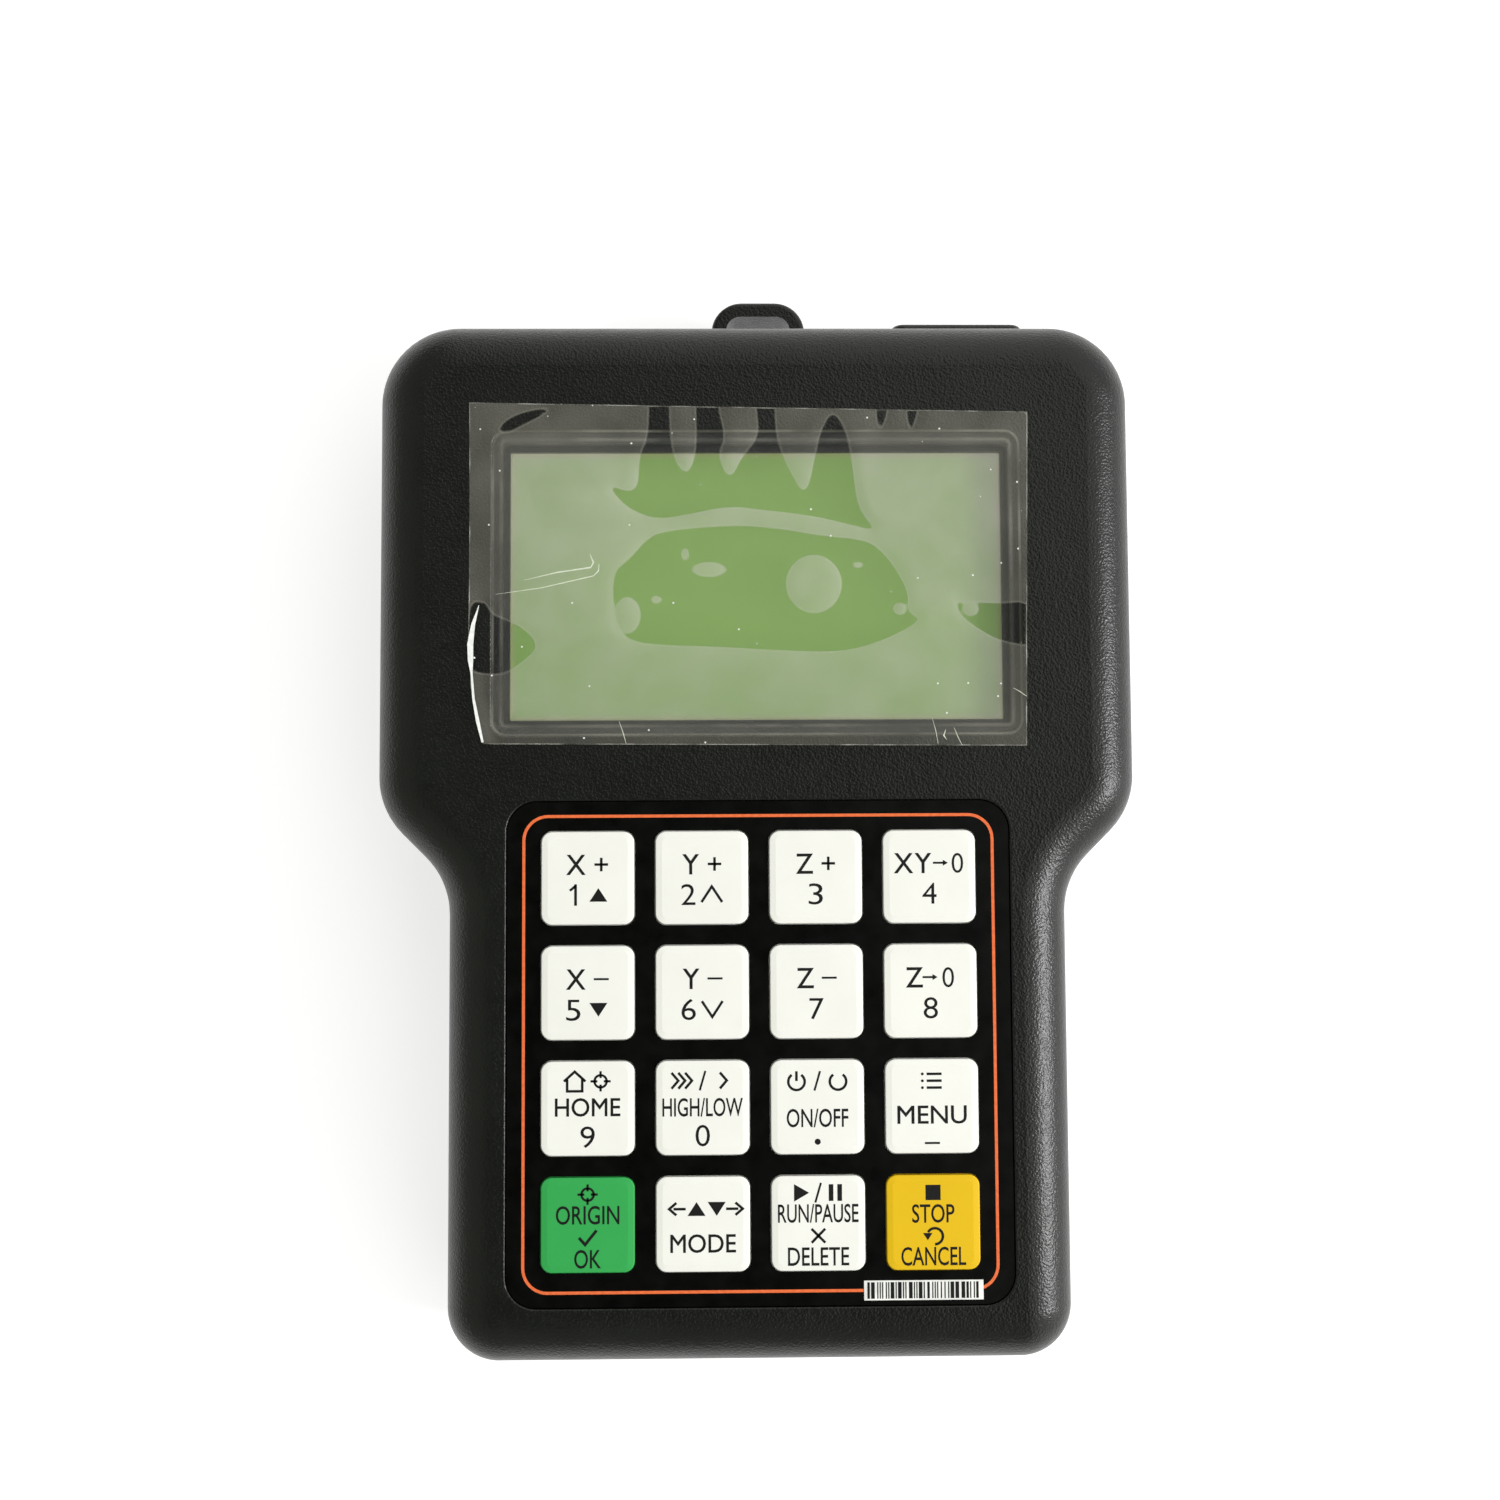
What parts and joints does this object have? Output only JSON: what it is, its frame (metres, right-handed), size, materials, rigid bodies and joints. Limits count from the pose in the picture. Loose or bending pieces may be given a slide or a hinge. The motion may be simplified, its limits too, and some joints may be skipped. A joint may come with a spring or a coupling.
{
  "type": "handheld cnc controller",
  "caption": "Handheld machine controller with a wide head, rounded shoulders and narrower grip, green display under a film, square push keys, hang loop and top sockets.",
  "frame": {"origin": "middle of the flat rear face, on which the controller lies", "axes": "+X to the right of the display, +Y along the body towards the hang loop, +Z out of the display"},
  "size_m": [0.1086, 0.1558, 0.0322],
  "materials": {
    "casing": "black moulded plastic with a fine grain",
    "black_steel": "blackened steel screw",
    "lens_clear": "clear acrylic window",
    "film_clear": "thin clear protective film",
    "adhesive": "black foam adhesive",
    "bezel_metal": "black painted steel",
    "lcd_cell": "yellow-green liquid crystal cell",
    "backlight": "diffuser block",
    "board_green": "green circuit board",
    "steel": "plated steel",
    "gilt": "gilt contact",
    "black_plastic": "black moulding compound",
    "aluminium": "aluminium can",
    "white_plastic": "ivory connector plastic",
    "overlay_black": "black printed polyester sheet, satin",
    "key_white": "white satin key",
    "key_green": "green satin key",
    "key_yellow": "yellow satin key",
    "ribbon_white": "flat flexible cable",
    "sticker_paper": "white paper label stock"
  },
  "bodies": {
    "casing": {"barcode_sticker": "sticker_paper", "board_capacitors": "aluminium", "board_crystal": "steel", "board_screws": "steel", "case_screws": "black_steel", "display_lens": "lens_clear", "front_shell": "casing", "header_socket": "black_plastic", "keypad_board": "board_green", "keypad_connector": "white_plastic", "keypad_overlay": "overlay_black", "keypad_ribbon": "ribbon_white", "keypad_screws": "steel", "keypad_spacer": "adhesive", "lcd_backlight": "backlight", "lcd_bezel": "bezel_metal", "lcd_board": "board_green", "lcd_glass": "lcd_cell", "lcd_header": "black_plastic", "lcd_header_pins": "gilt", "lcd_screws": "steel", "lens_adhesive": "adhesive", "main_board": "board_green", "main_processor": "black_plastic", "memory_chips": "black_plastic", "rear_shell": "casing", "ribbon_connector": "white_plastic", "screen_film": "film_clear", "socket_contacts": "gilt", "socket_insert": "black_plastic", "socket_shell": "steel", "switch_domes": "steel", "usb_contacts": "gilt", "usb_shell": "steel", "usb_tongue": "white_plastic"},
    "key_x_plus": {"key_x_plus": "key_white"},
    "key_y_plus": {"key_y_plus": "key_white"},
    "key_z_plus": {"key_z_plus": "key_white"},
    "key_xy_zero": {"key_xy_zero": "key_white"},
    "key_x_minus": {"key_x_minus": "key_white"},
    "key_y_minus": {"key_y_minus": "key_white"},
    "key_z_minus": {"key_z_minus": "key_white"},
    "key_z_zero": {"key_z_zero": "key_white"},
    "key_home": {"key_home": "key_white"},
    "key_speed": {"key_speed": "key_white"},
    "key_spindle": {"key_spindle": "key_white"},
    "key_menu": {"key_menu": "key_white"},
    "key_origin": {"key_origin": "key_green"},
    "key_mode": {"key_mode": "key_white"},
    "key_run": {"key_run": "key_white"},
    "key_stop": {"key_stop": "key_yellow"}
  },
  "joints": [
    {"name": "press_x_plus", "type": "slide", "parent": "casing", "child": "key_x_plus", "axis": [0, 0, -1], "range_m": [0, 0.0005], "stiffness_N_per_m": 2000, "deforming": ["switch_domes"]},
    {"name": "press_y_plus", "type": "slide", "parent": "casing", "child": "key_y_plus", "axis": [0, 0, -1], "range_m": [0, 0.0005], "stiffness_N_per_m": 2000, "deforming": ["switch_domes"]},
    {"name": "press_z_plus", "type": "slide", "parent": "casing", "child": "key_z_plus", "axis": [0, 0, -1], "range_m": [0, 0.0005], "stiffness_N_per_m": 2000, "deforming": ["switch_domes"]},
    {"name": "press_xy_zero", "type": "slide", "parent": "casing", "child": "key_xy_zero", "axis": [0, 0, -1], "range_m": [0, 0.0005], "stiffness_N_per_m": 2000, "deforming": ["switch_domes"]},
    {"name": "press_x_minus", "type": "slide", "parent": "casing", "child": "key_x_minus", "axis": [0, 0, -1], "range_m": [0, 0.0005], "stiffness_N_per_m": 2000, "deforming": ["switch_domes"]},
    {"name": "press_y_minus", "type": "slide", "parent": "casing", "child": "key_y_minus", "axis": [0, 0, -1], "range_m": [0, 0.0005], "stiffness_N_per_m": 2000, "deforming": ["switch_domes"]},
    {"name": "press_z_minus", "type": "slide", "parent": "casing", "child": "key_z_minus", "axis": [0, 0, -1], "range_m": [0, 0.0005], "stiffness_N_per_m": 2000, "deforming": ["switch_domes"]},
    {"name": "press_z_zero", "type": "slide", "parent": "casing", "child": "key_z_zero", "axis": [0, 0, -1], "range_m": [0, 0.0005], "stiffness_N_per_m": 2000, "deforming": ["switch_domes"]},
    {"name": "press_home", "type": "slide", "parent": "casing", "child": "key_home", "axis": [0, 0, -1], "range_m": [0, 0.0005], "stiffness_N_per_m": 2000, "deforming": ["switch_domes"]},
    {"name": "press_speed", "type": "slide", "parent": "casing", "child": "key_speed", "axis": [0, 0, -1], "range_m": [0, 0.0005], "stiffness_N_per_m": 2000, "deforming": ["switch_domes"]},
    {"name": "press_spindle", "type": "slide", "parent": "casing", "child": "key_spindle", "axis": [0, 0, -1], "range_m": [0, 0.0005], "stiffness_N_per_m": 2000, "deforming": ["switch_domes"]},
    {"name": "press_menu", "type": "slide", "parent": "casing", "child": "key_menu", "axis": [0, 0, -1], "range_m": [0, 0.0005], "stiffness_N_per_m": 2000, "deforming": ["switch_domes"]},
    {"name": "press_origin", "type": "slide", "parent": "casing", "child": "key_origin", "axis": [0, 0, -1], "range_m": [0, 0.0005], "stiffness_N_per_m": 2000, "deforming": ["switch_domes"]},
    {"name": "press_mode", "type": "slide", "parent": "casing", "child": "key_mode", "axis": [0, 0, -1], "range_m": [0, 0.0005], "stiffness_N_per_m": 2000, "deforming": ["switch_domes"]},
    {"name": "press_run", "type": "slide", "parent": "casing", "child": "key_run", "axis": [0, 0, -1], "range_m": [0, 0.0005], "stiffness_N_per_m": 2000, "deforming": ["switch_domes"]},
    {"name": "press_stop", "type": "slide", "parent": "casing", "child": "key_stop", "axis": [0, 0, -1], "range_m": [0, 0.0005], "stiffness_N_per_m": 2000, "deforming": ["switch_domes"]}
  ]
}
